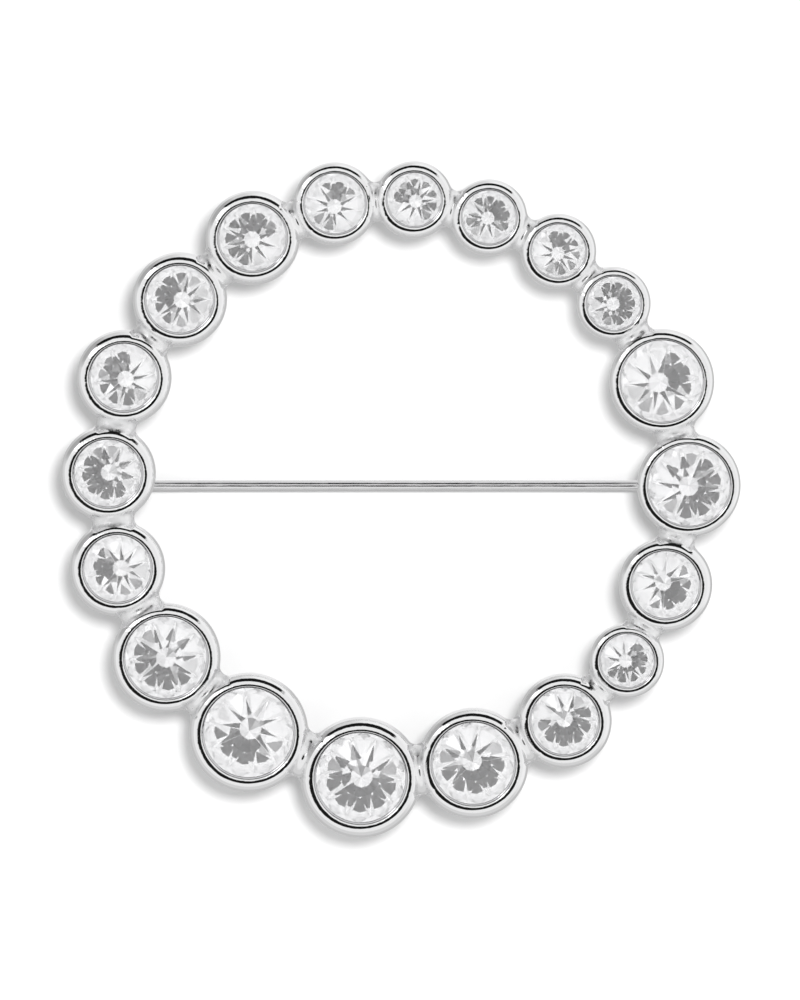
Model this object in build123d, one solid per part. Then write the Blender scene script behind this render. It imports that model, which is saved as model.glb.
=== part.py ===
from build123d import *
from collections import namedtuple
from math import acos, atan2, cos, degrees, hypot, pi, radians, sin, sqrt, tan
import os

# Circle pin brooch, in millimetres. The ring lies face up: +Z points out of its face, +X to the
# wearer's left and +Y up the coat. The solids are worked out with the rims' crests at Z = 0 and
# the pitch circle's centre at X = Y = 0, and the last lines set the brooch on Z = 0, centred.

# Stones: the girdle diameter of each size
TINY_STONE = 4.2
SMALL_STONE = 4.7
MIDDLE_STONE = 5.2
LARGE_STONE = 6.3
GRAND_STONE = 6.9

# Cut: facets round the stone, its angles, and radii as shares of the girdle's radius
MAIN_FACETS = 10
CROWN_ANGLE = radians(32.5)
PAVILION_ANGLE = radians(43.6)
TABLE_SHARE = 0.42
STAR_SHARE = 0.78
LOWER_SHARE = 0.50
GIRDLE_THICKNESS = 0.12

# Bezel cups: the rim is the metal that shows round a stone, measured from above
RIM_WIDTH = 1.08
CREST_SHARE = 0.70
VALLEY_SHARE = 0.93
VALLEY_DROP = 0.14
LIP_DROP = 0.12
LIP_COVER = 0.11
GIRDLE_DEPTH = 0.60
STONE_CLEARANCE = 0.05
BAND_HEIGHT = 1.40
BACK_SHARE = 0.60
BACK_WALL = 0.45

# Ring: gaps between neighbouring cups, drift of cups off the pitch circle, and the soldered webs
FIRST_ANGLE = radians(102)
CUP_GAP = 0.30
RING_DRIFT = 0.40
WEB_FILLET = 0.68
WEB_SINK = 0.78
WEB_THICKNESS = 1.20
WEB_BITE = 0.03

# Pin stem, its hinge behind one cup and its catch behind the cup across the ring
PIN_ASIDE = 0.16
WIRE_DIAMETER = 0.80
WIRE_CLEARANCE = 0.10
EYE_RADIUS = 0.75
EYE_THICKNESS = 0.70
RIVET_RADIUS = 0.36
RIVET_CLEARANCE = 0.04
RIVET_HEAD_RADIUS = 0.60
RIVET_HEAD_THICKNESS = 0.18
SIDE_CLEARANCE = 0.05
EAR_THICKNESS = 0.55
EAR_RADIUS = 0.80
CATCH_LENGTH = 2.00
CATCH_WALL = 0.50
CATCH_LIP = 0.20
POINT_LENGTH = 1.80
POINT_RADIUS = 0.08

# One row for each bezel, clockwise from the top of the face:
# stone: girdle diameter
# rim:   rim's width, share of RIM_WIDTH
# gap:   gap to the next cup, share of CUP_GAP, negative where two cups run together
# drift: outward off the pitch circle, share of RING_DRIFT
# turn:  stone's turn in its cup, share of one facet's step
# holds: what the cup's back carries, if anything
Row = namedtuple("Row", "stone rim gap drift turn holds", defaults=[None])
BEZEL_ROWS = [
    Row(SMALL_STONE, 0.80, -0.18, 0.40, 0.10),
    Row(TINY_STONE, 0.84, 0.05, 0.06, 0.55),
    Row(TINY_STONE, 0.80, 0.40, -0.38, 0.30),
    Row(TINY_STONE, 0.77, 0.40, -0.18, 0.80),
    Row(TINY_STONE, 0.71, 0.56, -0.47, 0.05),
    Row(LARGE_STONE, 0.82, 0.83, -0.23, 0.65),
    Row(LARGE_STONE, 0.77, 0.97, 1.02, 0.35, "catch"),
    Row(MIDDLE_STONE, 0.94, 0.29, -0.21, 0.90),
    Row(TINY_STONE, 0.74, 0.59, 0.17, 0.20),
    Row(MIDDLE_STONE, 0.97, -0.42, -0.02, 0.45),
    Row(LARGE_STONE, 1.01, -0.47, -0.36, 0.75),
    Row(GRAND_STONE, 1.09, 0.28, 0.68, 0.40),
    Row(GRAND_STONE, 1.04, -0.61, -0.54, 0.15),
    Row(LARGE_STONE, 0.96, -0.13, -0.55, 0.60),
    Row(MIDDLE_STONE, 0.99, 0.17, 0.20, 0.85),
    Row(MIDDLE_STONE, 1.00, 0.52, -0.10, 0.25, "hinge"),
    Row(MIDDLE_STONE, 0.99, 0.31, 0.90, 0.70),
    Row(MIDDLE_STONE, 0.97, 0.29, -0.36, 0.50),
    Row(MIDDLE_STONE, 0.96, 0.17, -0.06, 0.95),
]

Cup = namedtuple("Cup", "x y outer rim lip seat back stone turn holds")


def on_circle(radius, angle, level=0.0):
    """Point at an angle round the Z axis."""
    return Vector(radius * cos(angle), radius * sin(angle), level)


class Cut:
    """Levels of a stone's facet corners below or above its girdle, for a girdle radius of 1.

    The main facets lie on the corners of the girdle's even sides, and the star, upper and lower
    corners lie half a main step between them, so every facet is flat.
    """

    step = 2 * pi / MAIN_FACETS
    half = cos(step / 2)
    crown = tan(CROWN_ANGLE) * (1 - TABLE_SHARE)
    star = tan(CROWN_ANGLE) * (1 - STAR_SHARE * half)
    lower = tan(PAVILION_ANGLE) * (1 - LOWER_SHARE * half)
    pavilion = tan(PAVILION_ANGLE)


def cone_depth(stone):
    """Depth of the cup's conical hollow below the girdle, clear of the stone's lower corners."""
    radius = stone / 2
    seat = radius + STONE_CLEARANCE
    return (Cut.lower * radius + STONE_CLEARANCE) / (1 - LOWER_SHARE * radius / seat)


def cut_stone(stone, turn):
    """Faceted stone with a flat table and a pointed back, its girdle's top at Z = 0."""
    radius = stone / 2
    count = MAIN_FACETS
    start = turn * Cut.step

    def corners(share, level, number, phase):
        step = 2 * pi / number
        return [on_circle(share * radius, start + (i + phase) * step, level) for i in range(number)]

    table = corners(TABLE_SHARE, Cut.crown * radius, count, 0)
    star = corners(STAR_SHARE, Cut.star * radius, count, 0.5)
    top = corners(1, 0, 2 * count, 0)
    bottom = corners(1, -GIRDLE_THICKNESS, 2 * count, 0)
    lower = corners(LOWER_SHARE, -GIRDLE_THICKNESS - Cut.lower * radius, count, 0.5)
    culet = Vector(0, 0, -GIRDLE_THICKNESS - Cut.pavilion * radius)

    outlines = [table]
    for i in range(count):
        after = (i + 1) % count
        main, between, following = 2 * i, 2 * i + 1, 2 * after
        outlines += [
            [table[i], table[after], star[i]],
            [table[i], star[i - 1], top[main], star[i]],
            [top[main], top[between], star[i]],
            [top[between], top[following], star[i]],
            [top[main], top[between], bottom[between], bottom[main]],
            [top[between], top[following], bottom[following], bottom[between]],
            [bottom[main], bottom[between], lower[i]],
            [bottom[between], bottom[following], lower[i]],
            [culet, lower[i - 1], bottom[main], lower[i]],
        ]
    faces = [Face(Wire.make_polygon(outline, close=True)) for outline in outlines]
    return Solid(Shell(faces))


def cup_sizes(row):
    """Outer, lip and seat radii of a cup, its rim's width and the level of its back."""
    rim = row.rim * RIM_WIDTH
    lip = row.stone / 2 - LIP_COVER
    back = -GIRDLE_DEPTH - GIRDLE_THICKNESS - cone_depth(row.stone) - BACK_WALL
    return lip + rim, rim, lip, row.stone / 2 + STONE_CLEARANCE, back


def steps_round(pitch, outers):
    """Angle from each cup to the next one, for a pitch circle of this radius."""
    steps = []
    for i, row in enumerate(BEZEL_ROWS):
        after = (i + 1) % len(BEZEL_ROWS)
        near = pitch + row.drift * RING_DRIFT
        far = pitch + BEZEL_ROWS[after].drift * RING_DRIFT
        span = outers[i] + outers[after] + row.gap * CUP_GAP
        steps.append(acos((near**2 + far**2 - span**2) / (2 * near * far)))
    return steps


def closing_radius(outers):
    """Radius of the pitch circle on which the chain of cups just closes."""
    low = 2 * max(outers)
    high = sum(outers)
    for _ in range(60):
        middle = (low + high) / 2
        if sum(steps_round(middle, outers)) > 2 * pi:
            low = middle
        else:
            high = middle
    return high


def lay_out_cups():
    """Every cup in its place round the ring, clockwise from the top."""
    sizes = [cup_sizes(row) for row in BEZEL_ROWS]
    outers = [size[0] for size in sizes]
    pitch = closing_radius(outers)
    steps = steps_round(pitch, outers)
    cups = []
    angle = FIRST_ANGLE
    for row, (outer, rim, lip, seat, back), step in zip(BEZEL_ROWS, sizes, steps):
        place = on_circle(pitch + row.drift * RING_DRIFT, angle)
        size = (outer, rim, lip, seat, back, row.stone)
        cups.append(Cup(place.X, place.Y, *size, row.turn, row.holds))
        angle -= step
    return cups


def cup_that_holds(cups, fitting):
    """The cup whose back carries this end of the pin stem."""
    return next(cup for cup in cups if cup.holds == fitting)


def cup_blank(cup):
    """Cup without its hollow: tapered back, straight band, round shoulder, crest, valley, lip."""
    shoulder = CREST_SHARE * cup.rim
    crest = cup.outer - shoulder
    valley = cup.outer - VALLEY_SHARE * cup.rim
    valley_level = -VALLEY_DROP * cup.rim
    inflection = ((crest + valley) / 2, valley_level / 2)
    shoulder_middle = (crest + shoulder * sin(pi / 4), shoulder * (cos(pi / 4) - 1))
    lip_level = -LIP_DROP * cup.rim
    outline = [
        Line((0, lip_level), (0, cup.back)),
        Line((0, cup.back), (BACK_SHARE * cup.outer, cup.back)),
        Line((BACK_SHARE * cup.outer, cup.back), (cup.outer, -BAND_HEIGHT)),
        Line((cup.outer, -BAND_HEIGHT), (cup.outer, -shoulder)),
        ThreePointArc((cup.outer, -shoulder), shoulder_middle, (crest, 0)),
        TangentArc((crest, 0), inflection, tangent=(-1, 0)),
        TangentArc((valley, valley_level), inflection, tangent=(1, 0)),
        Line((valley, valley_level), (cup.lip, lip_level)),
        Line((cup.lip, lip_level), (0, lip_level)),
    ]
    section = Plane.XZ * make_face(outline)
    return Pos(cup.x, cup.y) * revolve(section, Axis.Z)


def cup_hollow(cup):
    """Hollow of a cup: its mouth inside the lip, the girdle's groove and the cone below it."""
    crown_rise = Cut.star / (1 - STAR_SHARE) * (LIP_COVER + STONE_CLEARANCE)
    groove_top = -GIRDLE_DEPTH + crown_rise + STONE_CLEARANCE
    groove_bottom = -GIRDLE_DEPTH - GIRDLE_THICKNESS
    outline = Polyline(
        (0, cup.rim),
        (cup.lip, cup.rim),
        (cup.lip, groove_top),
        (cup.seat, groove_top),
        (cup.seat, groove_bottom),
        (0, groove_bottom - cone_depth(cup.stone)),
        close=True,
    )
    section = Plane.XZ * make_face(outline)
    return Pos(cup.x, cup.y) * revolve(section, Axis.Z)


def web(cup, after):
    """Soldered bridge between two neighbouring cups, its sides hollowed by two arcs."""
    span = hypot(after.x - cup.x, after.y - cup.y)
    wall = cup.outer - WEB_BITE
    wall_after = after.outer - WEB_BITE
    reach = wall + WEB_FILLET
    reach_after = wall_after + WEB_FILLET
    along = (span**2 + reach**2 - reach_after**2) / (2 * span)
    aside = sqrt(reach**2 - along**2)

    def side(sign):
        start = (wall / reach * along, sign * wall / reach * aside)
        waist = (along, sign * (aside - WEB_FILLET))
        end_along = span + wall_after / reach_after * (along - span)
        end = (end_along, sign * wall_after / reach_after * aside)
        return start, waist, end

    left, right = side(1), side(-1)
    outline = [
        ThreePointArc(*left),
        Line(left[2], right[2]),
        ThreePointArc(*right),
        Line(right[0], left[0]),
    ]
    heading = degrees(atan2(after.y - cup.y, after.x - cup.x))
    bridge = extrude(make_face(outline), -WEB_THICKNESS)
    top = -WEB_SINK * CREST_SHARE * max(cup.rim, after.rim)
    return Pos(cup.x, cup.y, top) * Rot(0, 0, heading) * bridge


def pin_level(cups):
    """Level of the pin's axis: the eye clears the hinge cup and the wire clears both cups."""
    hinge_back = cup_that_holds(cups, "hinge").back
    catch_back = cup_that_holds(cups, "catch").back
    under_eye = hinge_back - WIRE_CLEARANCE - EYE_RADIUS
    under_wire = min(hinge_back, catch_back) - WIRE_CLEARANCE - WIRE_DIAMETER / 2
    return min(under_eye, under_wire)


def across(radius, length):
    """Round bar along Y, centred on the origin."""
    return Rot(90, 0, 0) * Cylinder(radius, length)


def hinge_ears(cup, level):
    """Two ears behind the hinge cup, bored for the rivet, their roots sunk in the cup's back."""
    root = cup.back + BACK_WALL / 2
    inner = WIRE_DIAMETER / 2 + SIDE_CLEARANCE
    width = 2 * (inner + EAR_THICKNESS)
    height = root - level
    block = Pos(0, 0, height / 2) * Box(2 * EAR_RADIUS, width, height)
    block += across(EAR_RADIUS, width)
    block -= Box(4 * EAR_RADIUS, 2 * inner, 2 * (cup.back - level))
    block -= across(RIVET_RADIUS + RIVET_CLEARANCE, 2 * width)
    return Pos(cup.x, PIN_ASIDE, level) * block


def catch_clip(cup, level):
    """Plain clip behind the catch cup: the wire drops into it from below."""
    root = cup.back + BACK_WALL / 2
    channel = WIRE_DIAMETER / 2 + SIDE_CLEARANCE
    width = 2 * (channel + CATCH_WALL)
    foot = -WIRE_DIAMETER / 2 - CATCH_LIP
    height = root - level - foot
    block = Pos(0, 0, foot + height / 2) * Box(CATCH_LENGTH, width, height)
    block -= Rot(0, 90, 0) * Cylinder(channel, 2 * CATCH_LENGTH)
    block -= Pos(0, 0, foot) * Box(2 * CATCH_LENGTH, 2 * channel, -2 * foot)
    return Pos(cup.x, PIN_ASIDE, level) * block


def pin_stem(cups, level):
    """Straight wire from its flattened eye to its point, just past the catch."""
    hinge = cup_that_holds(cups, "hinge")
    catch = cup_that_holds(cups, "catch")
    shaft = catch.x + CATCH_LENGTH / 2 - hinge.x
    wire = Rot(0, 90, 0) * Pos(0, 0, shaft / 2) * Cylinder(WIRE_DIAMETER / 2, shaft)
    point = Cone(WIRE_DIAMETER / 2, POINT_RADIUS, POINT_LENGTH)
    wire += Rot(0, 90, 0) * Pos(0, 0, shaft + POINT_LENGTH / 2) * point
    wire += across(EYE_RADIUS, EYE_THICKNESS)
    wire -= across(RIVET_RADIUS + RIVET_CLEARANCE, 2 * WIRE_DIAMETER)
    return Pos(hinge.x, PIN_ASIDE, level) * wire


def hinge_rivet(cup, level):
    """Headed pin of the hinge, through both ears and the stem's eye."""
    grip = WIRE_DIAMETER + 2 * (2 * SIDE_CLEARANCE + EAR_THICKNESS)
    rivet = across(RIVET_RADIUS, grip + RIVET_HEAD_THICKNESS)
    for sign in (1, -1):
        place = Pos(0, sign * (grip + RIVET_HEAD_THICKNESS) / 2, 0)
        rivet += place * across(RIVET_HEAD_RADIUS, RIVET_HEAD_THICKNESS)
    return Pos(cup.x, PIN_ASIDE, level) * rivet


def ring_frame(cups, level):
    """All the soldered metal: cups, webs, hinge ears and catch clip, hollowed for the stones."""
    metal = [cup_blank(cup) for cup in cups]
    metal += [web(cup, after) for cup, after in zip(cups, cups[1:] + cups[:1])]
    metal.append(hinge_ears(cup_that_holds(cups, "hinge"), level))
    metal.append(catch_clip(cup_that_holds(cups, "catch"), level))
    frame = metal[0].fuse(*metal[1:])
    return frame.cut(*[cup_hollow(cup) for cup in cups])


def base_shift(cups, level):
    """Move that centres the ring on X = Y = 0 and rests its lowest metal on Z = 0."""
    left = min(cup.x - cup.outer for cup in cups)
    right = max(cup.x + cup.outer for cup in cups)
    low = min(cup.y - cup.outer for cup in cups)
    high = max(cup.y + cup.outer for cup in cups)
    ears = level - EAR_RADIUS
    clip = level - WIRE_DIAMETER / 2 - CATCH_LIP
    backs = min(cup.back for cup in cups)
    return Pos(-(left + right) / 2, -(low + high) / 2, -min(ears, clip, backs))


def main():
    os.makedirs("parts", exist_ok=True)
    cups = lay_out_cups()
    level = pin_level(cups)
    pieces = {
        "frame": ring_frame(cups, level),
        "pin_stem": pin_stem(cups, level),
        "hinge_rivet": hinge_rivet(cup_that_holds(cups, "hinge"), level),
    }
    for number, cup in enumerate(cups, start=1):
        seated = Pos(cup.x, cup.y, -GIRDLE_DEPTH) * cut_stone(cup.stone, cup.turn)
        pieces[f"stone_{number:02d}"] = seated
    shift = base_shift(cups, level)
    for name, piece in pieces.items():
        export_step(shift * piece, f"parts/{name}.step")


main()
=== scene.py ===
from math import atan2, cos, degrees, hypot, pi, radians, sin, sqrt, tan

import bmesh
import bpy
from mathutils import Euler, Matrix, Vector, noise


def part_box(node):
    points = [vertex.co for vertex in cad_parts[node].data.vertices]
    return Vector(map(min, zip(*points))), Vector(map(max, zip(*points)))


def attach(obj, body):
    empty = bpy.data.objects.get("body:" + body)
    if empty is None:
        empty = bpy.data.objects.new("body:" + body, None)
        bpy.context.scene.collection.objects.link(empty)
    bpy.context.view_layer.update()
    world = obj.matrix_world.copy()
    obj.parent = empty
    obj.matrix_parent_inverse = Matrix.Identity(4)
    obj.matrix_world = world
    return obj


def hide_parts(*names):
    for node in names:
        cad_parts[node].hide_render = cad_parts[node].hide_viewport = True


# Circle pin brooch, face up. Shapes are worked out in millimetres, with levels counted from the
# rims' crests, and set in metres in the frame of the solids.

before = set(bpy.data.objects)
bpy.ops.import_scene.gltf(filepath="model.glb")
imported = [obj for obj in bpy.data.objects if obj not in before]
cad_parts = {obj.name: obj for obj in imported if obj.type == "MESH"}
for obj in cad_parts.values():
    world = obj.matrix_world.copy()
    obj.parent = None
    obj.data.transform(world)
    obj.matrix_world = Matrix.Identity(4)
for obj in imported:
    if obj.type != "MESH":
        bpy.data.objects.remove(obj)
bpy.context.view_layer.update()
MM = 0.001

# Rim of each cup, clockwise from the top: its width seen from above, as a share of RIM_WIDTH
RIM_WIDTH = 1.08
RIM_SHARES = [0.80, 0.84, 0.80, 0.77, 0.71, 0.82, 0.77, 0.94, 0.74, 0.97,
              1.01, 1.09, 1.04, 0.96, 0.99, 1.00, 0.99, 0.97, 0.96]
# Crest of a rim: its share of the width from the outer edge in, how that share changes round the
# cup, the radius of the section there and how much that changes, and the slope where it ends
CREST_SHARE = 0.71
CREST_LEAN = 0.055
CREST_SIDE = 0.03
CREST_RADIUS = 1.1
CREST_RADIUS_SPREAD = 0.25
CREST_EDGE = radians(11)
# Unevenness of the rims in plan and in height, and how far the crests lie under their level for it
RIM_UNEVEN = 0.012
CREST_UNEVEN = 0.006
CREST_SINK = 0.010
# Arcs of the rim's section from its crest in to the stone: share of that width at the arc's end,
# slope there in degrees, and rows
RIM_ARCS = [(0.42, -9, 4), (0.52, -64, 3), (0.56, -64, 1), (0.63, 0, 3), (0.83, -3, 1),
            (1.00, -84, 4)]

# Seat of a stone, as on the solids: how far the lip covers it, where its girdle lies below the
# crest, and the gap round it. LEAN_PLAY is the room above and below that its lean takes, as a share
# of its radius. The lip's under side and the foot of its face are levels above the girdle.
LIP_COVER = 0.11
LIP_UNDER = 0.08
LIP_FOOT = 0.11
LIP_BEVEL = 0.02
GIRDLE_DEPTH = 0.60
GIRDLE_THICKNESS = 0.12
SEAT_CLEARANCE = 0.05
LEAN_PLAY = 0.07
# Outside of a cup: an upright band below the rim, then a cone to a flat back. The rows give where
# the band, the start of the cone and the rest of the cone are cut.
BACK_SHARE = 0.60
BAND_HEIGHT = 1.40
BACK_WALL = 0.45
BAND_ROWS = (0.35, 0.7)
BAND_BEVEL = 0.12
BAND_INSET = 0.02
CONE_DROPS = (0.16, 0.45)
CONE_ROWS = (0.55, 0.86)
# Rounded corner of the back, outwards and up from it, and the share at which the flat is cut
BACK_CORNER = ((0.03, 0.08), (-0.10, 0.01), (-0.22, 0.0))
BACK_FLAT = 0.45

# Cut of the solids' stones: facets round a stone, shares of the radius and slopes
FACETS = 10
TABLE_SHARE = 0.42
STAR_SHARE = 0.78
LOWER_SHARE = 0.50
CROWN_SLOPE = tan(radians(32.5))
PAVILION_SLOPE = tan(radians(43.6))
# The cut that is seen: a little steeper in the crown and flatter in the back than the solids'
SEEN_LOWER_SHARE = 0.80
SEEN_CROWN_SLOPE = tan(radians(33.5))
SEEN_PAVILION_SLOPE = tan(radians(43.2))
# Stones lean a little in their cups, each its own way: degrees, their spread, and the turn between
# one stone's lean and the next one's
LEAN = 1.5
LEAN_SPREAD = 0.35
LEAN_TURN = radians(137.5)
# How far the highest corner of a leaning table stays under the solid's table
TABLE_UNDER = 0.01

# Webs between the cups: the radius of their fillets, how far their under side lies below the
# crests, the sink of their waist as a share of the way from a crest to it, the radius of its arch,
# the drop at its edges, and the radius of a saddle's bulge as a share of its hollow's. The last two
# change the band's lower edge and the top of the cone where a web meets a cup.
WEB_FILLET = 0.66
WEB_FLOOR = 1.85
WEB_SINK = 0.29
WEB_ARCH = 2.6
WEB_EDGE = 0.40
WEB_CONVEX = 0.75
WEB_INSET = 0.04
WEB_NARROWING = 0.6
# Part of the plan that counts as a web's solder, along it from its waist and beyond its edges
SOFT_ALONG = 0.50
SOFT_ASIDE = 0.45
# Solder: the height and the grain of its unevenness, its reach from the waist, and its amount at
# the least, at the web's middle, how much more for each millimetre up the picture, and its gain
SOLDER_UNEVEN = 0.09
SOLDER_GRAIN = 0.34
SOLDER_REACH = 0.60
SOLDER_LEAST = 0.12
SOLDER_MIDDLE = 0.35
SOLDER_RISE = 0.9
SOLDER_GAIN = 1.6

# Mesh: columns round a cup, rows along its section, passes that smooth the webs, and the distance
# in metres within which points become one
COLUMN_STEP = radians(4.8)
WEB_HALF_COLUMNS = 8
FILLET_COLUMNS = 5
CREST_ROWS = 4
SHOULDER_ROWS = 16
# Rows of a section from the hollow out that are painted darker, as shade beside the stone
GROOVE_SHADE_ROWS = 17
WEB_SMOOTHING = 2
WELD = 2e-6


class Cup:
    """One bezel: its place and radii, in millimetres, read from the stone that it holds."""

    def __init__(self, number, rim):
        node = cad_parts[f"stone_{number:02d}"]
        low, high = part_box(f"stone_{number:02d}")
        self.number = number
        self.rim = rim
        self.x = (low.x + high.x) / 2 / MM
        self.y = (low.y + high.y) / 2 / MM
        reach = [hypot(v.co.x / MM - self.x, v.co.y / MM - self.y) for v in node.data.vertices]
        self.stone = max(reach)
        corner = max(node.data.vertices, key=lambda v: v.co.z).co
        self.turn = self.angle_to((corner.x / MM, corner.y / MM))
        self.crest_level = high.z / MM - CROWN_SLOPE * (1 - TABLE_SHARE) * self.stone + GIRDLE_DEPTH
        self.lip = self.stone - LIP_COVER
        self.outer = self.lip + rim
        self.shoulder = CREST_SHARE * rim
        seat = self.stone + SEAT_CLEARANCE
        lower = PAVILION_SLOPE * (1 - LOWER_SHARE * cos(radians(18))) * self.stone
        cone = (lower + SEAT_CLEARANCE) / (1 - LOWER_SHARE * self.stone / seat)
        self.hollow = -GIRDLE_DEPTH - GIRDLE_THICKNESS - cone
        self.back = self.hollow - BACK_WALL

    def angle_to(self, point):
        return atan2(point[1] - self.y, point[0] - self.x)

    def reach_to(self, point):
        return hypot(point[0] - self.x, point[1] - self.y)

    def wobble(self, angle, lobes, size):
        """Small unevenness of a hand-burnished rim."""
        total = 0
        for lobe in lobes:
            total += sin(lobe * angle + self.number * (1.7 + lobe)) / lobe
        return size * total


cups = [Cup(number, share * RIM_WIDTH) for number, share in enumerate(RIM_SHARES, start=1)]


class Web:
    """Plan of the web between two cups: the waist line that they share and its two fillets."""

    def __init__(self, cup, after):
        self.cup, self.after = cup, after
        dx, dy = after.x - cup.x, after.y - cup.y
        span = hypot(dx, dy)
        self.along, self.aside = (dx / span, dy / span), (-dy / span, dx / span)
        near, far = cup.outer + WEB_FILLET, after.outer + WEB_FILLET
        middle = (span**2 + near**2 - far**2) / (2 * span)
        self.centre = (middle, sqrt(near**2 - middle**2))
        self.span = span
        lean = (cup.outer - after.outer) / span
        start = (span**2 + cup.outer**2 - after.outer**2) / (2 * span)

        def waist_point(aside):
            a, b = 1 - lean**2, cup.outer - start * lean
            c = cup.outer**2 - start**2 - aside**2
            spread = (-b + sqrt(b * b - a * c)) / a
            return start + lean * spread, aside

        low, high = 0.0, self.centre[1]
        for _ in range(50):
            guess = (low + high) / 2
            x, y = waist_point(guess)
            if hypot(x - self.centre[0], y - self.centre[1]) > WEB_FILLET:
                low = guess
            else:
                high = guess
        self.half_width = low
        self.dip = WEB_SINK * (middle - cup.outer + cup.shoulder + after.shoulder) / 2
        self.arch = self.half_width**2 / (2 * WEB_ARCH)
        self.foot = self.dip + self.arch + WEB_EDGE
        self.middle = middle
        self.mid = self.place(middle, 0)
        self.waist = []
        for k in range(-WEB_HALF_COLUMNS, WEB_HALF_COLUMNS + 1):
            share = sin(k / WEB_HALF_COLUMNS * pi / 2)
            x, y = waist_point(abs(share) * self.half_width)
            y = y if k >= 0 else -y
            self.waist.append((self.place(x, y), self.waist_depth(abs(share))))

    def place(self, x, y):
        """Point of the plan in the brooch's own frame."""
        return (self.cup.x + x * self.along[0] + y * self.aside[0],
                self.cup.y + x * self.along[1] + y * self.aside[1])

    def waist_depth(self, share):
        """Depth of the waist below the crests: an arch that ends upright at the web's edges."""
        return self.dip + self.arch * share**2 + WEB_EDGE * (1 - sqrt(max(0.0, 1 - share**6)))

    def holds(self, x, y):
        """Whether a point of the plan lies on the web or where it runs into its cups."""
        dx, dy = x - self.cup.x, y - self.cup.y
        along = dx * self.along[0] + dy * self.along[1]
        aside = dx * self.aside[0] + dy * self.aside[1]
        return abs(along - self.middle) < SOFT_ALONG and abs(aside) < self.half_width + SOFT_ASIDE

    def fillet(self, side, of_after):
        """Points of one fillet from the waist to where it meets a cup, with depth and edge share."""
        cx, cy = self.centre[0], side * self.centre[1]
        waist = self.waist[-1 if side > 0 else 0][0]
        dx, dy = waist[0] - self.cup.x, waist[1] - self.cup.y
        local = (dx * self.along[0] + dy * self.along[1], dx * self.aside[0] + dy * self.aside[1])
        first = atan2(local[1] - cy, local[0] - cx)
        target = self.span if of_after else 0.0
        last = atan2(-cy, target - cx)
        turn = (last - first + pi) % (2 * pi) - pi
        body = self.after if of_after else self.cup
        points = []
        for i in range(1, FILLET_COLUMNS + 1):
            share = i / FILLET_COLUMNS
            angle = first + turn * share
            ease = share**2 * (3 - 2 * share)
            depth = self.foot + (body.shoulder - self.foot) * ease
            point = self.place(cx + WEB_FILLET * cos(angle), cy + WEB_FILLET * sin(angle))
            points.append((point, depth, 1 - ease))
        return points


webs = [Web(cup, after) for cup, after in zip(cups, cups[1:] + cups[:1])]


class Column:
    """One radial cut of a cup: direction, reach, depth of its outer edge, saddle and web shares."""

    def __init__(self, angle, reach, depth, saddle, web, open_side):
        self.angle, self.reach, self.depth = angle, reach, depth
        self.saddle, self.web, self.open_side = saddle, web, open_side


def columns_of(cup, before, after):
    """All radial cuts of a cup, in turning order, closed round its two webs."""
    sectors = []
    for web, of_after in ((before, True), (after, False)):
        neighbour = web.cup if of_after else web.after
        middle = cup.angle_to((neighbour.x, neighbour.y))
        cuts = []
        for k, (point, depth) in enumerate(web.waist):
            edge = k in (0, len(web.waist) - 1)
            cuts.append((point, depth, 1.0, 1.0, edge))
        for side in (1, -1):
            for point, depth, share in web.fillet(side, of_after):
                cuts.append((point, depth, max(0.0, 2 * share - 1), share, True))
        sector = []
        for point, depth, saddle, share, edge in cuts:
            turn = (cup.angle_to(point) - middle + pi) % (2 * pi) - pi
            column = Column(middle + turn, cup.reach_to(point), depth, saddle, share, edge)
            sector.append((turn, column))
        sector.sort(key=lambda item: item[0])
        sectors.append([column for _, column in sector])
    result = []
    for sector, following in (sectors, sectors[::-1]):
        result += sector
        start, end = sector[-1].angle, following[0].angle
        arc = (end - start) % (2 * pi)
        count = max(2, round(arc / COLUMN_STEP))
        for i in range(1, count):
            angle = start + arc * i / count
            result.append(Column(angle, cup.outer, cup.shoulder, 0.0, 0.0, True))
    return result


def crest_share(angle):
    """Share of the rim's width from its outer edge to its crest, which lies a little low."""
    return CREST_SHARE + CREST_LEAN * sin(angle) - CREST_SIDE * cos(2 * angle)


def rim_rows(cup, angle):
    """Rows of a rim's section from the stone out to the crest, as (radius, level)."""
    start = crest_share(angle)
    inner = (1 - start) * cup.rim
    share, level, slope = 0.0, 0.0, 0.0
    rows = [(share, level)]
    for end, end_slope, count in RIM_ARCS:
        target = radians(end_slope)
        width = end - share
        for i in range(1, count + 1):
            if abs(target - slope) < 1e-6:
                rows.append((share + width * i / count, level + width * i / count * tan(slope)))
                continue
            radius = width / (sin(target) - sin(slope))
            here = slope + (target - slope) * i / count
            rows.append((share + radius * (sin(here) - sin(slope)),
                         level - radius * (cos(here) - cos(slope))))
        share, level, slope = end, rows[-1][1], target
    uneven = cup.wobble(angle, (2, 3, 5, 8), RIM_UNEVEN)
    sink = cup.wobble(angle, (2, 3, 5), CREST_UNEVEN) - CREST_SINK
    crest = cup.outer - start * cup.rim
    return [(crest - share * inner + uneven * (1 - share), level * inner + sink)
            for share, level in reversed(rows)]


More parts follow.
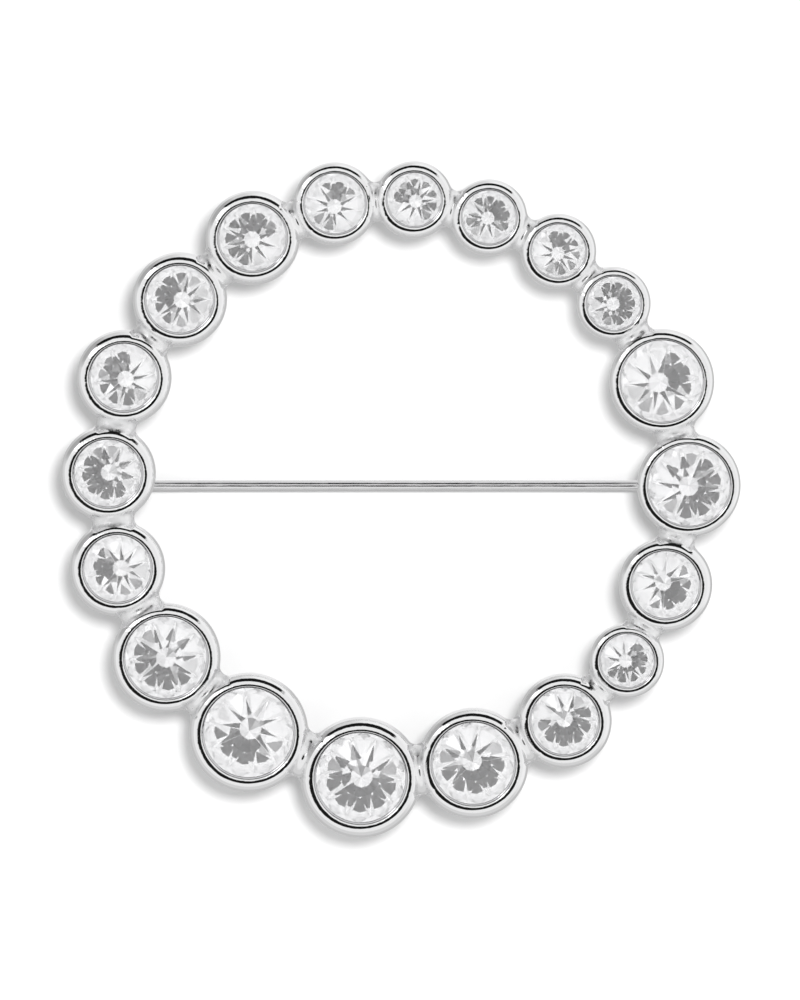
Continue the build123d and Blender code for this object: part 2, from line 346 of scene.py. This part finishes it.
def arcs(width, drop, crest, saddle_shaped):
    """Rows from the crest outwards, as shares of the width and drop: round down, or a saddle.

    crest is the radius of the section there.
    """
    edge = CREST_EDGE
    first = crest * sin(edge)
    rows = []
    for i in range(CREST_ROWS + 1):
        slope = edge * i / CREST_ROWS
        rows.append((crest * sin(slope), crest * (1 - cos(slope))))
    rest, fall = width - first, drop - rows[-1][1]
    count = SHOULDER_ROWS - CREST_ROWS
    x, z = rows[-1]
    if not saddle_shaped:
        radius = rest / (1 - sin(edge))
        stretch = fall / (radius * cos(edge))
        for i in range(1, count + 1):
            slope = edge + (pi / 2 - edge) * i / count
            rows.append((x + radius * (sin(slope) - sin(edge)),
                         z + radius * stretch * (cos(edge) - cos(slope))))
        return [(x / width, z / drop) for x, z in rows]

    # a saddle's two arcs, as steep as its drop asks
    def spread(steepest):
        return WEB_CONVEX * (sin(steepest) - sin(edge)) + sin(steepest)

    def dip(steepest):
        return WEB_CONVEX * (cos(edge) - cos(steepest)) + 1 - cos(steepest)

    low, high = edge, radians(88)
    for _ in range(30):
        steepest = (low + high) / 2
        if dip(steepest) / spread(steepest) < fall / rest:
            low = steepest
        else:
            high = steepest
    concave = rest / spread(steepest)
    half = count // 2
    for i in range(1, half + 1):
        slope = edge + (steepest - edge) * i / half
        rows.append((x + WEB_CONVEX * concave * (sin(slope) - sin(edge)),
                     z + WEB_CONVEX * concave * (cos(edge) - cos(slope))))
    x, z = rows[-1]
    for i in range(1, count - half + 1):
        slope = steepest * (1 - i / (count - half))
        rows.append((x + concave * (sin(steepest) - sin(slope)),
                     z + concave * (cos(slope) - cos(steepest))))
    return [(x / rows[-1][0], z / rows[-1][1]) for x, z in rows]


def section(cup, column):
    """Section of a cup along one column, from the bottom of its hollow round to its back.

    Returns rows of (radius, level); None stands for a row that the shared waist leaves out.
    """
    angle = column.angle
    seat = cup.stone + SEAT_CLEARANCE
    play = LEAN_PLAY * cup.stone
    rows = [
        (seat * 0.5, (cup.hollow - GIRDLE_DEPTH - GIRDLE_THICKNESS) / 2 - play),
        (seat, -GIRDLE_DEPTH - GIRDLE_THICKNESS - play),
        (seat, -GIRDLE_DEPTH + LIP_UNDER + play),
        (cup.lip + LIP_BEVEL, -GIRDLE_DEPTH + LIP_UNDER + play),
        (cup.lip, -GIRDLE_DEPTH + LIP_FOOT + play),
    ]
    rows += rim_rows(cup, angle)
    crest, crest_level = rows.pop()
    floor = -column.depth
    width, drop = column.reach - crest, crest_level - floor
    round_crest = CREST_RADIUS * (1 + CREST_RADIUS_SPREAD * (cos(2 * angle) - cos(angle)))
    rounded = arcs(width, drop, round_crest, False)
    saddled = arcs(width, drop, round_crest, True) if column.saddle else rounded
    for (round_x, round_z), (ease_x, ease_z) in zip(rounded, saddled):
        x = round_x + (ease_x - round_x) * column.saddle
        z = round_z + (ease_z - round_z) * column.saddle
        rows.append((crest + width * x, crest_level - drop * z))
    back = cup.back
    corner = BACK_SHARE * cup.outer
    band = -BAND_HEIGHT
    bottom = band + (-WEB_FLOOR - band) * column.web
    edge = bottom + BAND_BEVEL
    levels = [floor + (edge - floor) * share for share in BAND_ROWS]
    rows += [(column.reach, level) if column.open_side else None for level in (*levels, edge)]
    into = BAND_INSET * (1 - column.web)
    rows.append((column.reach - into - WEB_INSET * column.web * column.open_side, bottom))
    levels = [bottom - drop * (1 - WEB_NARROWING * column.web) for drop in CONE_DROPS]
    levels += [band + (back - band) * share for share in CONE_ROWS]
    taper = (cup.outer - corner) / (band - back)
    rows += [(cup.outer + (level - band) * taper, level) for level in levels]
    rows += [(corner + aside, back + up) for aside, up in BACK_CORNER]
    rows.append((corner * BACK_FLAT, back))
    return rows


def solder(place):
    """Share of rough solder at a point and its rise in metres, most on the side where it was fed."""
    x, y = place.x / MM, place.y / MM
    web = min(webs, key=lambda item: hypot(item.mid[0] - x, item.mid[1] - y))
    across = (x - web.mid[0]) * web.along[0] + (y - web.mid[1]) * web.along[1]
    inside = max(0.0, 1 - (across / SOLDER_REACH)**2)
    upright = web.along[1]**2
    fed = min(1.0, max(SOLDER_LEAST, SOLDER_MIDDLE + SOLDER_RISE * (y - web.mid[1])))
    uneven = noise.noise(place / (SOLDER_GRAIN * MM))
    share = min(1.0, SOLDER_GAIN * inside) * max(fed, upright)
    return share, SOLDER_UNEVEN * MM * inside * fed * uneven


class Surface:
    """Mesh of one piece, gathered in millimetres in the brooch's own frame."""

    smoothing = 0

    def __init__(self):
        self.points, self.faces, self.groove_shade = [], [], {}

    def is_soft(self, place):
        """Whether a point lies on the solder of a web, clear of the backs."""
        x, y, z = (v / MM for v in place)
        return z > cups[0].crest_level - WEB_FLOOR and any(web.holds(x, y) for web in webs)

    def point(self, x, y, z):
        self.points.append((x * MM, y * MM, z * MM))
        return len(self.points) - 1

    def skin(self, rows, looped=False):
        """Faces between closed rows of points that lie side by side."""
        rows = [[self.point(*place) for place in row] for row in rows]
        for row, after in zip(rows, rows[1:] + rows[:1] if looped else rows[1:]):
            for i in range(len(row)):
                j = (i + 1) % len(row)
                self.faces.append((row[i], row[j], after[j], after[i]))
        if not looped:
            self.faces += [tuple(rows[0]), tuple(rows[-1])]

    def cup(self, cup, columns):
        """One cup with its hollow, its rim and its back, round its two webs."""
        grid = []
        for column in columns:
            ids = []
            for number, row in enumerate(section(cup, column)):
                if row is None:
                    ids.append(None)
                    continue
                x = cup.x + row[0] * cos(column.angle)
                y = cup.y + row[0] * sin(column.angle)
                ids.append(self.point(x, y, cup.crest_level + row[1]))
                # Painted shade: the hollow, the lip and the rim's inner slope are marked for a
                # darker metal colour, fading out over the last two rows
                if number <= GROOVE_SHADE_ROWS:
                    self.groove_shade[ids[-1]] = min(1.0, (GROOVE_SHADE_ROWS - number) / 2)
            grid.append(ids)
        tip = self.point(cup.x, cup.y, cup.crest_level + cup.hollow - LEAN_PLAY * cup.stone)
        end = self.point(cup.x, cup.y, cup.crest_level + cup.back)
        for i, ids in enumerate(grid):
            after = grid[(i + 1) % len(grid)]
            self.faces.append((tip, ids[0], after[0]))
            self.faces.append((end, after[-1], ids[-1]))
            for a, b in zip(range(len(ids) - 1), range(1, len(ids))):
                corners = [ids[a], ids[b], after[b], after[a]]
                if None not in corners:
                    self.faces.append(tuple(corners))

    def object(self, name, crease=None):
        """The piece, shaded smooth, or only up to some degrees between its faces."""
        mesh = bpy.data.meshes.new(name)
        mesh.from_pydata(self.points, [], self.faces)
        # The marks of the painted shade go on as a point attribute
        if self.groove_shade:
            mesh.attributes.new("solder", "FLOAT", "POINT")
            shade_marks = mesh.attributes.new("groove_shade", "FLOAT", "POINT")
            for index, value in self.groove_shade.items():
                shade_marks.data[index].value = value
        work = bmesh.new()
        work.from_mesh(mesh)
        bmesh.ops.remove_doubles(work, verts=work.verts, dist=WELD)
        bmesh.ops.recalc_face_normals(work, faces=work.faces)
        soft = [v for v in work.verts if self.smoothing and self.is_soft(v.co)]
        for _ in range(self.smoothing):
            bmesh.ops.smooth_vert(work, verts=soft, factor=0.5, use_axis_x=True, use_axis_y=True,
                                  use_axis_z=True)
        for vertex in soft:
            share, rise = solder(vertex.co)
            vertex[work.verts.layers.float["solder"]] = share
            vertex.co.z += rise
        for face in work.faces:
            face.smooth = True
        work.to_mesh(mesh)
        work.free()
        if crease:
            mesh.set_sharp_from_angle(angle=radians(crease))
        piece = bpy.data.objects.new(name, mesh)
        bpy.context.scene.collection.objects.link(piece)
        return piece


ring_surface = Surface()
ring_surface.smoothing = WEB_SMOOTHING
for i, cup in enumerate(cups):
    ring_surface.cup(cup, columns_of(cup, webs[i - 1], webs[i]))
ring = ring_surface.object("ring_of_cups")


def inset(outline, depth):
    """The same closed outline, moved inwards by some depth."""
    moved = []
    for i, (x, y) in enumerate(outline):
        (ax, ay), (bx, by) = outline[i - 1], outline[(i + 1) % len(outline)]
        length = hypot(bx - ax, by - ay)
        moved.append((x - depth * (by - ay) / length, y + depth * (bx - ax) / length))
    return moved


# Rounded edge from a face to a side: shares of the bevel in from the outline and from the face
EDGE = ((1.0, 0.0), (0.62, 0.08), (0.29, 0.29), (0.08, 0.62), (0.0, 1.0))


def plate(centre, outline, hole, low, high, bevel):
    """Plate across the pin with rounded edges: its outline and its round hole in x and z."""
    cx, cy, cz = centre
    rows = []

    def add(shape, y):
        rows.append([(cx + x, cy + y, cz + z) for x, z in shape])

    def bore(radius):
        return [(radius * x / hypot(x, z), radius * z / hypot(x, z)) for x, z in outline]

    for into, down in EDGE[::-1]:
        add(bore(hole + into * bevel), low + down * bevel)
    for into, down in EDGE:
        add(inset(outline, into * bevel), low + down * bevel)
    for into, down in EDGE[::-1]:
        add(inset(outline, into * bevel), high - down * bevel)
    for into, down in EDGE:
        add(bore(hole + into * bevel), high - down * bevel)
    surface = Surface()
    surface.skin(rows, looped=True)
    return surface


def turned(centre, profile, sides=40):
    """Round piece turned about an axis across the pin, from its (y, radius) profile."""
    cx, cy, cz = centre
    rows = []
    for y, radius in profile:
        turns = [2 * pi * i / sides for i in range(sides)]
        rows.append([(cx + radius * cos(a), cy + y, cz + radius * sin(a)) for a in turns])
    surface = Surface()
    surface.skin(rows)
    return surface


# Pin stem's hinge and catch, as on the solids: radii of round shapes, half widths and thicknesses
WIRE = 0.40
EYE = 0.75
EYE_HALF = 0.35
BORE = 0.40
SHANK = 0.36
EAR = 0.80
EAR_INNER = 0.45
EAR_THICKNESS = 0.55
HEAD = 0.60
HEAD_THICKNESS = 0.18
HEAD_GAP = 0.05
CLIP_HALF = 1.00
CLIP_WALL = 0.50
CLIP_LIP = 0.20
POINT_LENGTH = 1.80
POINT = 0.08
# Finer than the solids: the flare of the ears and the clip where they are soldered on, and how far
# it runs into the cup's back, the rounding of the clip's ends, and bevels
FLARE = 0.22
FLARE_SINK = 0.04
CLIP_ROUND = 0.14
BEVEL = 0.09
EYE_BEVEL = 0.10
CREASE = 40
# Profile of a rivet's head, from its middle out: share of its thickness and radius
DOME = [(1.00, 0.02), (1.00, 0.20), (0.90, 0.38), (0.66, 0.51), (0.38, 0.58), (0.12, HEAD)]
# Neck of the stem: distance from the rivet, half width and half height
NECK = [(BORE + 0.08, 0.20, 0.24), (BORE + 0.12, 0.30, 0.36), (0.75, 0.34, 0.44), (1.0, 0.345, 0.45),
        (1.3, 0.36, 0.43), (1.7, 0.39, 0.405), (2.0, WIRE, WIRE)]

hinge_cup, catch_cup = cups[15], cups[6]
low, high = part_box("hinge_rivet")
pin_axis = tuple(v / MM for v in (low + high) / 2)


def back_above_pin(cup):
    """Height of a cup's back over the pin's axis."""
    return cup.crest_level + cup.back - pin_axis[2]


def ear_outline():
    """One ear in x and z about the rivet: round below, flared where it is soldered on."""
    top = back_above_pin(hinge_cup)
    right = [(EAR * cos(a), EAR * sin(a)) for a in (radians(-90 + 10 * i) for i in range(10))]
    for i in range(1, 7):
        share = i / 6
        right.append((EAR + FLARE * share**4, (top + FLARE_SINK) * share))
    right.append((EAR + FLARE, top + BACK_WALL / 2))
    across = [((EAR + FLARE) * (1 - i / 5), top + BACK_WALL / 2) for i in range(1, 5)]
    half = right + across
    return half + [(0, top + BACK_WALL / 2)] + [(-x, z) for x, z in half[:0:-1]]


def clip_surface():
    """Catch: a U-shaped clip along the wire, open below, with rounded ends."""
    top = back_above_pin(catch_cup)
    channel = EAR_INNER
    outer = channel + CLIP_WALL
    foot = -WIRE - CLIP_LIP
    turn = CLIP_ROUND
    outside = [(outer + FLARE, top + BACK_WALL / 2)]
    for i in range(6, -1, -1):
        share = i / 6
        outside.append((outer + FLARE * share**4, (top + FLARE_SINK) * share))
    outside += [(outer, foot + 0.9 * turn), (outer - 0.3 * turn, foot + 0.3 * turn)]
    outside += [(outer - turn, foot), (channel + turn, foot)]
    outside += [(channel + 0.3 * turn, foot + 0.3 * turn), (channel, foot + turn)]
    inside = [(channel * cos(a), channel * sin(a)) for a in (radians(15 * i) for i in range(7))]
    half = outside + inside
    outline = half + [(-y, z) for y, z in half[-2::-1]]
    outline = outline[::-1]
    cx, cy, cz = catch_cup.x, pin_axis[1], pin_axis[2]
    rows = []
    for into, along in EDGE:
        shape = inset(outline, into * BEVEL)
        rows.append([(cx - CLIP_HALF + along * BEVEL, cy + y, cz + z) for y, z in shape])
    for into, along in EDGE[::-1]:
        shape = inset(outline, into * BEVEL)
        rows.append([(cx + CLIP_HALF - along * BEVEL, cy + y, cz + z) for y, z in shape])
    surface = Surface()
    surface.skin(rows)
    return surface


def stem_surfaces():
    """The stem's flattened eye, and its wire from the neck to the ground point."""
    circle = [(EYE * cos(a), EYE * sin(a)) for a in (radians(7.5 * i) for i in range(48))]
    eye = plate(pin_axis, circle, BORE, -EYE_HALF, EYE_HALF, EYE_BEVEL)
    shaft = catch_cup.x + CLIP_HALF - hinge_cup.x
    neck = NECK[-1][0]
    stations = NECK + [(neck + (shaft - neck) * i / 24, WIRE, WIRE) for i in range(1, 25)]
    for i in range(1, 11):
        share = i / 10
        radius = WIRE + (POINT - WIRE) * share**1.15
        stations.append((shaft + (POINT_LENGTH - 0.05) * share, radius, radius))
    stations += [(shaft + POINT_LENGTH - 0.02, 0.06, 0.06), (shaft + POINT_LENGTH, 0.025, 0.025)]
    rows = []
    for x, wide, tall in stations:
        turns = [2 * pi * i / 28 for i in range(28)]
        rows.append([(pin_axis[0] + x, pin_axis[1] + wide * cos(a), pin_axis[2] + tall * sin(a))
                     for a in turns])
    wire = Surface()
    wire.skin(rows)
    return eye, wire


def rivet_profile():
    """Headed rivet from end to end: domed head, shank, domed head."""
    inner = EAR_INNER + EAR_THICKNESS + HEAD_GAP
    head = [(inner + HEAD_THICKNESS * share, radius) for share, radius in DOME]
    head += [(inner, HEAD - 0.02), (inner, SHANK + 0.01), (inner - 0.02, SHANK)]
    return [(-y, radius) for y, radius in head] + head[::-1]


def cut_stone(cup):
    """A faceted stone in its cup: crown faces first, then the foiled girdle and back."""
    radius = cup.stone
    half = cos(pi / FACETS)
    star = SEEN_CROWN_SLOPE * (1 - STAR_SHARE * half)
    lower = SEEN_PAVILION_SLOPE * (1 - SEEN_LOWER_SHARE * half)
    rise = SEEN_CROWN_SLOPE * (1 - TABLE_SHARE)
    tilt = radians(LEAN * (1 + LEAN_SPREAD * sin(cup.number)))
    towards = cup.number * LEAN_TURN
    lean = Euler((tilt * cos(towards), tilt * sin(towards), 0)).to_matrix()
    highest = (rise * cos(tilt) + TABLE_SHARE * sin(tilt)) * radius
    table_level = cup.crest_level - GIRDLE_DEPTH + CROWN_SLOPE * (1 - TABLE_SHARE) * radius
    level_of_girdle = table_level - highest - TABLE_UNDER
    surface = Surface()

    def place(x, y, z):
        spot = lean @ Vector((x, y, z * radius))
        return surface.point(cup.x + spot.x, cup.y + spot.y, level_of_girdle + spot.z)

    def corners(share, level, count, phase):
        turns = [cup.turn + (i + phase) * 2 * pi / count for i in range(count)]
        return [place(share * radius * cos(a), share * radius * sin(a), level) for a in turns]

    band = GIRDLE_THICKNESS / radius
    table = corners(TABLE_SHARE, rise, FACETS, 0)
    stars = corners(STAR_SHARE, star, FACETS, 0.5)
    top = corners(1, 0, 2 * FACETS, 0)
    bottom = corners(1, -band, 2 * FACETS, 0)
    lowers = corners(SEEN_LOWER_SHARE, -band - lower, FACETS, 0.5)
    culet = place(0, 0, -band - SEEN_PAVILION_SLOPE)
    crown, back = [tuple(table)], []
    for i in range(FACETS):
        after = (i + 1) % FACETS
        main, halfway, following = 2 * i, 2 * i + 1, 2 * after
        crown += [
            (table[i], stars[i], table[after]),
            (table[i], stars[i - 1], top[main], stars[i]),
            (top[main], top[halfway], stars[i]),
            (top[halfway], top[following], stars[i]),
        ]
        back += [
            (top[main], bottom[main], bottom[halfway], top[halfway]),
            (top[halfway], bottom[halfway], bottom[following], top[following]),
            (bottom[main], lowers[i], bottom[halfway]),
            (bottom[halfway], lowers[i], bottom[following]),
            (culet, lowers[i], bottom[main], lowers[i - 1]),
        ]
    surface.faces = crown + back
    stone = surface.object(f"cut_stone_{cup.number:02d}")
    for face in stone.data.polygons:
        face.use_smooth = False
        face.material_index = 0 if face.index < len(crown) else 1
    return stone


ears = []
for side, label in ((-1, "a"), (1, "b")):
    span = sorted((side * EAR_INNER, side * (EAR_INNER + EAR_THICKNESS)))
    ear = plate(pin_axis, ear_outline(), BORE, *span, BEVEL)
    ears.append(ear.object(f"hinge_ear_{label}", CREASE))
clip = clip_surface().object("catch_clip", CREASE)
eye_surface, wire_surface = stem_surfaces()
eye = eye_surface.object("pin_eye", CREASE)
wire = wire_surface.object("pin_wire", CREASE)
rivet = turned(pin_axis, rivet_profile()).object("rivet", CREASE)
stones = [cut_stone(cup) for cup in cups]


def new_material(name):
    material = bpy.data.materials.new(name)
    material.use_nodes = True
    return material, material.node_tree.nodes, material.node_tree.links


def uneven_bump(nodes, links, shader, vector, layers):
    """Fine unevenness of a surface: noises of some scale and height, one on the other."""
    before = None
    for scale, height in layers:
        grain = nodes.new("ShaderNodeTexNoise")
        grain.inputs["Scale"].default_value = scale
        grain.inputs["Detail"].default_value = 2
        links.new(vector, grain.inputs["Vector"])
        bump = nodes.new("ShaderNodeBump")
        bump.inputs["Strength"].default_value = 1.0
        bump.inputs["Distance"].default_value = height * MM
        links.new(grain.outputs["Fac"], bump.inputs["Height"])
        if before:
            links.new(before, bump.inputs["Normal"])
        before = bump.outputs["Normal"]
    links.new(before, shader.inputs["Normal"])


def between(nodes, links, vector, scale, low, high):
    """A value that varies between two others over a surface."""
    grain = nodes.new("ShaderNodeTexNoise")
    grain.inputs["Scale"].default_value = scale
    links.new(vector, grain.inputs["Vector"])
    spread = nodes.new("ShaderNodeMapRange")
    spread.inputs["From Min"].default_value = 0.25
    spread.inputs["From Max"].default_value = 0.75
    spread.inputs["To Min"].default_value = low
    spread.inputs["To Max"].default_value = high
    links.new(grain.outputs["Fac"], spread.inputs["Value"])
    return spread.outputs["Result"]


def rough_between(nodes, links, shader, vector, scale, low, high):
    """Roughness that varies between two values."""
    links.new(between(nodes, links, vector, scale, low, high), shader.inputs["Roughness"])


def bright_metal():
    """Plated and polished castings: bright, with the faint unevenness of hand work.

    The rim's inner slope, the lip and the hollow beside each stone are painted darker, as shade,
    and the solder of the webs is satin.
    """
    material, nodes, links = new_material("bright_metal")
    shader = nodes["Principled BSDF"]
    shader.inputs["Metallic"].default_value = 1.0
    # Painted shade beside the stones: marked points take a darker metal colour, 0.60 against 0.90
    groove_shade = nodes.new("ShaderNodeAttribute")
    groove_shade.attribute_name = "groove_shade"
    tone = nodes.new("ShaderNodeMix")
    tone.data_type = "RGBA"
    tone.inputs["A"].default_value = (0.90, 0.90, 0.905, 1)
    tone.inputs["B"].default_value = (0.60, 0.60, 0.61, 1)
    links.new(groove_shade.outputs["Fac"], tone.inputs["Factor"])
    links.new(tone.outputs["Result"], shader.inputs["Base Color"])
    place = nodes.new("ShaderNodeTexCoord").outputs["Object"]
    solder_share = nodes.new("ShaderNodeAttribute")
    solder_share.attribute_name = "solder"
    rough = nodes.new("ShaderNodeMix")
    links.new(solder_share.outputs["Fac"], rough.inputs["Factor"])
    links.new(between(nodes, links, place, 1500, 0.03, 0.08), rough.inputs["A"])
    links.new(between(nodes, links, place, 3600, 0.16, 0.62), rough.inputs["B"])
    links.new(rough.outputs["Result"], shader.inputs["Roughness"])
    uneven_bump(nodes, links, shader, place, [(1300, 0.012), (4200, 0.0022)])
    return material


def drawn_wire():
    """Drawn wire: fine streaks along its length, a little rougher than the castings."""
    material, nodes, links = new_material("drawn_wire")
    shader = nodes["Principled BSDF"]
    shader.inputs["Base Color"].default_value = (0.80, 0.80, 0.805, 1)
    shader.inputs["Metallic"].default_value = 1.0
    place = nodes.new("ShaderNodeTexCoord").outputs["Object"]
    along = nodes.new("ShaderNodeMapping")
    along.inputs["Scale"].default_value = (0.07, 1, 1)
    links.new(place, along.inputs["Vector"])
    stretched = along.outputs["Vector"]
    rough_between(nodes, links, shader, stretched, 3000, 0.10, 0.22)
    uneven_bump(nodes, links, shader, stretched, [(3500, 0.010), (11000, 0.004)])
    return material


def crystal():
    """Clear glass of the crowns."""
    material, nodes, links = new_material("crystal")
    shader = nodes["Principled BSDF"]
    shader.inputs["Base Color"].default_value = (1, 1, 1, 1)
    shader.inputs["IOR"].default_value = 1.52
    shader.inputs["Transmission Weight"].default_value = 1.0
    place = nodes.new("ShaderNodeTexCoord").outputs["Object"]
    rough_between(nodes, links, shader, place, 900, 0.0, 0.012)
    return material


def silver_foil():
    """Foil painted on the stones' backs, seen through the glass."""
    material, nodes, links = new_material("silver_foil")
    shader = nodes["Principled BSDF"]
    shader.inputs["Base Color"].default_value = (0.93, 0.93, 0.935, 1)
    shader.inputs["Metallic"].default_value = 0.72
    shader.inputs["Specular IOR Level"].default_value = 0.0
    place = nodes.new("ShaderNodeTexCoord").outputs["Object"]
    rough_between(nodes, links, shader, place, 1200, 0.015, 0.04)
    return material


metal_look = bright_metal()
wire_look = drawn_wire()
crystal_look = crystal()
foil_look = silver_foil()
for piece in (ring, clip, *ears):
    piece.data.materials.append(metal_look)
    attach(piece, "brooch")
    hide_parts("frame")
rivet.data.materials.append(wire_look)
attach(rivet, "brooch")
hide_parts("hinge_rivet")
for piece in (eye, wire):
    piece.data.materials.append(wire_look)
    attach(piece, "pin")
    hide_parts("pin_stem")

for cup, stone in zip(cups, stones):
    stone.data.materials.append(crystal_look)
    stone.data.materials.append(foil_look)
    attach(stone, "brooch")
    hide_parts(f"stone_{cup.number:02d}")


def floor(reach):
    """Pale paper under the brooch, not seen in its reflections."""
    mesh = bpy.data.meshes.new("floor")
    corners = [(-reach, -reach, 0), (reach, -reach, 0), (reach, reach, 0), (-reach, reach, 0)]
    mesh.from_pydata(corners, [], [(0, 1, 2, 3)])
    piece = bpy.data.objects.new("floor", mesh)
    bpy.context.scene.collection.objects.link(piece)
    material, nodes, links = new_material("paper")
    shader = nodes["Principled BSDF"]
    shader.inputs["Base Color"].default_value = (0.88, 0.88, 0.88, 1)
    shader.inputs["Roughness"].default_value = 0.9
    shader.inputs["Specular IOR Level"].default_value = 0.0
    mesh.materials.append(material)
    piece.visible_glossy = False


floor(3)

# The camera sees 75 mm of height from 600 mm away
SENSOR = 36
view = bpy.data.cameras.new("camera")
view.sensor_fit = "VERTICAL"
view.sensor_height = SENSOR
view.lens = SENSOR * 600 / 75
view.clip_start = 0.01
camera = bpy.data.objects.new("camera", view)
camera.location = (-0.0000395, -0.0000450, 0.6048)
bpy.context.scene.collection.objects.link(camera)
bpy.context.scene.camera = camera

key = bpy.data.lights.new("key", "AREA")
key.shape = "DISK"
key.size = 0.12
key.energy = 1.95
lamp = bpy.data.objects.new("key", key)
lean, bearing, far = radians(10.5), radians(50), 0.55
lamp.location = (far * sin(lean) * cos(bearing), far * sin(lean) * sin(bearing), far * cos(lean))
lamp.rotation_euler = Vector(lamp.location).to_track_quat("Z", "Y").to_euler()
lamp.visible_glossy = False
lamp.visible_transmission = False
bpy.context.scene.collection.objects.link(lamp)


def studio():
    """White surround with a dark disc overhead, a dark bar above it and a small bright lamp."""
    world = bpy.data.worlds.new("studio")
    bpy.context.scene.world = world
    world.use_nodes = True
    nodes, links = world.node_tree.nodes, world.node_tree.links
    place = nodes.new("ShaderNodeTexCoord")
    parts = nodes.new("ShaderNodeSeparateXYZ")
    links.new(place.outputs["Generated"], parts.inputs["Vector"])

    def math(operation, *values):
        node = nodes.new("ShaderNodeMath")
        node.operation = operation
        for socket, value in zip(node.inputs, values):
            if isinstance(value, (int, float)):
                socket.default_value = value
            else:
                links.new(value, socket)
        return node.outputs["Value"]

    tilt = math("MULTIPLY", math("ARCCOSINE", parts.outputs["Z"]), degrees(1))
    bearing = math("MULTIPLY", math("ARCTAN2", parts.outputs["Y"], parts.outputs["X"]), degrees(1))

    def step(value, edge, soft):
        """0 below an edge and 1 above it, eased over some degrees on both sides."""
        node = nodes.new("ShaderNodeMapRange")
        node.interpolation_type = "SMOOTHSTEP"
        node.inputs["From Min"].default_value = edge - soft
        node.inputs["From Max"].default_value = edge + soft
        links.new(value, node.inputs["Value"])
        return node.outputs["Result"]

    def window(low, high, middle, half, soft=2.5, side_soft=3.0):
        """1 between two tilts and within some degrees of a bearing, fading at its edges."""
        inside = math("SUBTRACT", step(tilt, low, soft) if low > 0 else 1.0, step(tilt, high, soft))
        if half >= 180:
            return inside
        away = math("ABSOLUTE", math("WRAP", math("SUBTRACT", bearing, middle), 180, -180))
        return math("MULTIPLY", inside, math("SUBTRACT", 1.0, step(away, half, side_soft)))

    def disc(tilted, towards, radius, soft=2.5):
        """1 within some degrees of one direction, fading at its edge."""
        point = (sin(radians(tilted)) * cos(radians(towards)),
                 sin(radians(tilted)) * sin(radians(towards)), cos(radians(tilted)))
        aligned = nodes.new("ShaderNodeVectorMath")
        aligned.operation = "DOT_PRODUCT"
        links.new(place.outputs["Generated"], aligned.inputs[0])
        aligned.inputs[1].default_value = point
        away = math("MULTIPLY", math("ARCCOSINE", aligned.outputs["Value"]), degrees(1))
        return math("SUBTRACT", 1.0, step(away, radius, soft))

    def levels(base, patches):
        """Brightness of the surround: a base, and patches laid over it in turn."""
        level = base
        for weight, value in patches:
            node = nodes.new("ShaderNodeMix")
            links.new(weight, node.inputs["Factor"])
            if isinstance(level, float):
                node.inputs["A"].default_value = level
            else:
                links.new(level, node.inputs["A"])
            node.inputs["B"].default_value = value
            level = node.outputs["Result"]
        return level

    overhead = disc(9, 270, 13, soft=1.5)
    glint = window(6, 34, 137, 8)
    bar = window(31, 60, 90, 40, soft=1.5)
    # Tilts are counted from overhead, and bearings from the picture's right towards its top.
    # What the metal mirrors: greyer from 60 degrees down, paler on the right and low at the top,
    # grey at the upper left, then the dark disc, the dark bar and the lamp's glint
    round_about = levels(0.90, [
        (window(60, 180, 0, 180, soft=10), 0.70),
        (window(104, 180, 0, 180, soft=8), 0.57),
        (window(52, 104, 30, 62, soft=8, side_soft=14), 0.96),
        (window(104, 180, 90, 38, soft=6, side_soft=14), 0.90),
        (window(42, 104, 140, 20, soft=6, side_soft=10), 0.42),
        (overhead, 0.01),
        (bar, 0.01),
        (glint, 2.0),
    ])
    # What shows through the stones: brighter, a little darker in places, and a smaller dark disc
    through_stones = levels(1.62, [
        (window(12, 24, 0, 60), 1.12),
        (window(12, 24, 180, 60), 1.12),
        (window(38, 62, 0, 180), 1.15),
        (window(40, 180, 265, 60, soft=12, side_soft=20), 1.10),
        (disc(1, 270, 8.7, soft=1.0), 0.01),
        (glint, 2.0),
    ])
    which = nodes.new("ShaderNodeMix")
    path = nodes.new("ShaderNodeLightPath")
    links.new(path.outputs["Is Transmission Ray"], which.inputs["Factor"])
    links.new(round_about, which.inputs["A"])
    links.new(through_stones, which.inputs["B"])
    links.new(which.outputs["Result"], nodes["Background"].inputs["Strength"])
    nodes["Background"].inputs["Color"].default_value = (1, 1, 1, 1)


studio()
bpy.context.scene.view_settings.view_transform = "Standard"
